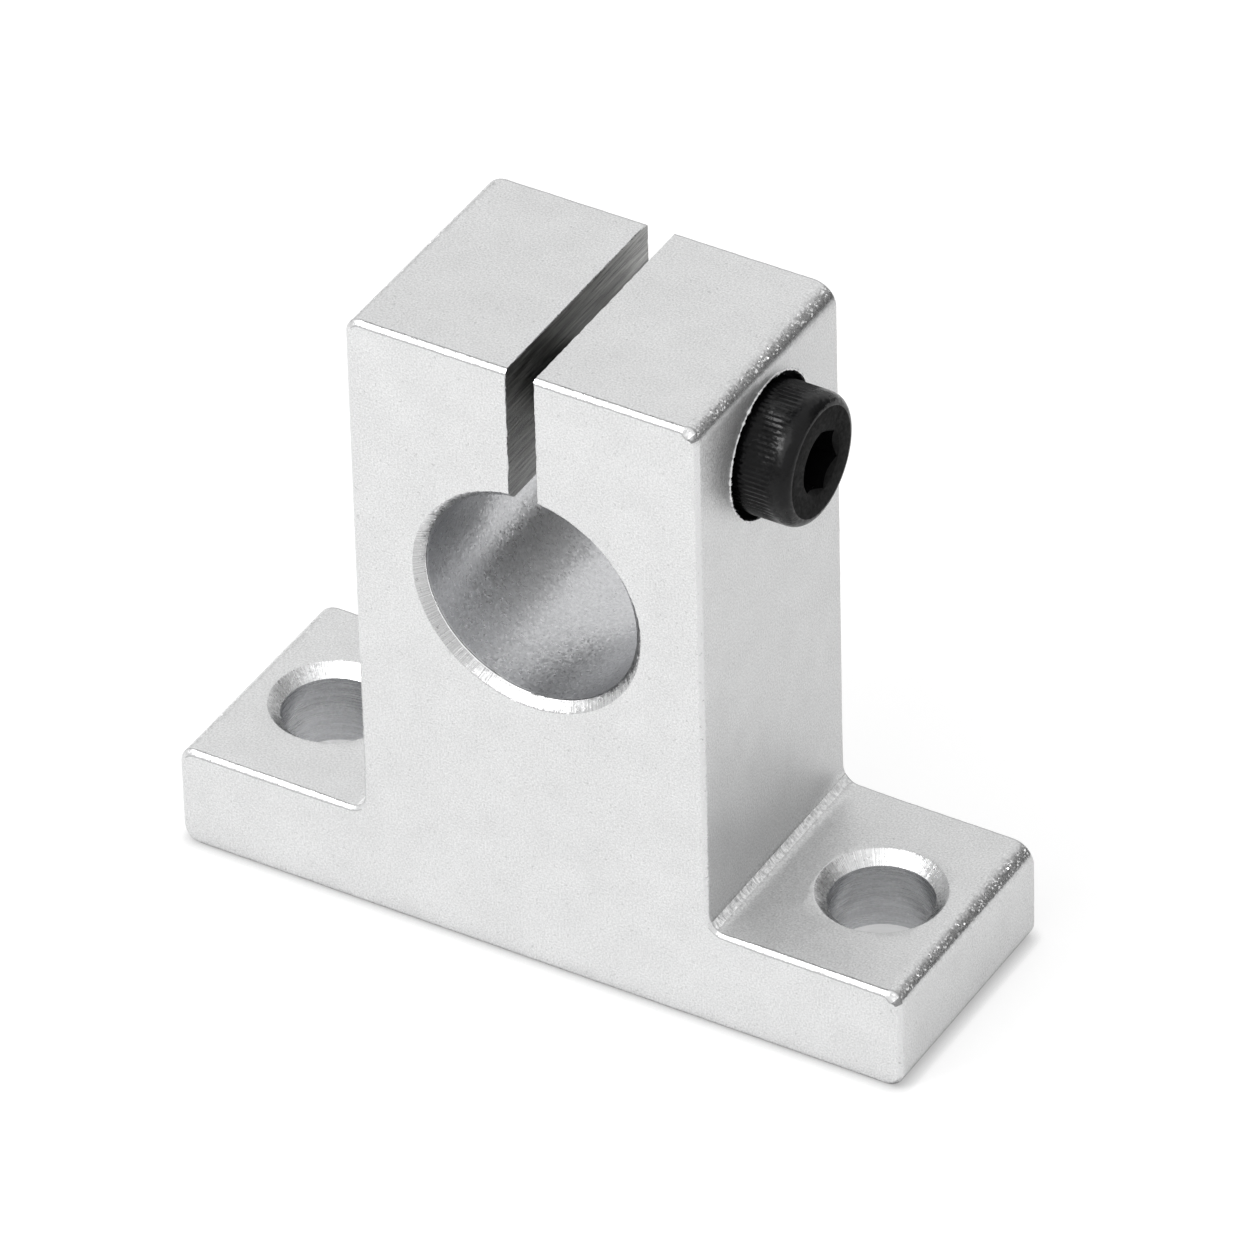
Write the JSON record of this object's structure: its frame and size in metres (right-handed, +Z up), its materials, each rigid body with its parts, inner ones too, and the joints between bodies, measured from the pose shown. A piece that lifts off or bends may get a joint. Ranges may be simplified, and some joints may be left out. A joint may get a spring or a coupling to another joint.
{
  "type": "shaft support block",
  "caption": "Slotted aluminium pedestal block that clamps the end of a round shaft with a side socket head screw and bolts down through its feet.",
  "frame": {"origin": "middle of the underside of the base", "axes": "+X along the base towards the screw's head, +Y along the shaft's bore, +Z up"},
  "size_m": [0.042, 0.014, 0.037],
  "materials": {
    "blasted_aluminium": "fine bead blast, clear anodised",
    "black_steel": "black oxide"
  },
  "bodies": {
    "block": {"support_block": "blasted_aluminium"},
    "screw": {"clamp_screw": "black_steel"}
  },
  "joints": [
    {"name": "clamp_screw_turn", "type": "hinge", "parent": "block", "child": "screw", "pos_m": [0.0089, 0, 0.0317], "axis": [1, 0, 0], "range_deg": [-90, 360]}
  ]
}
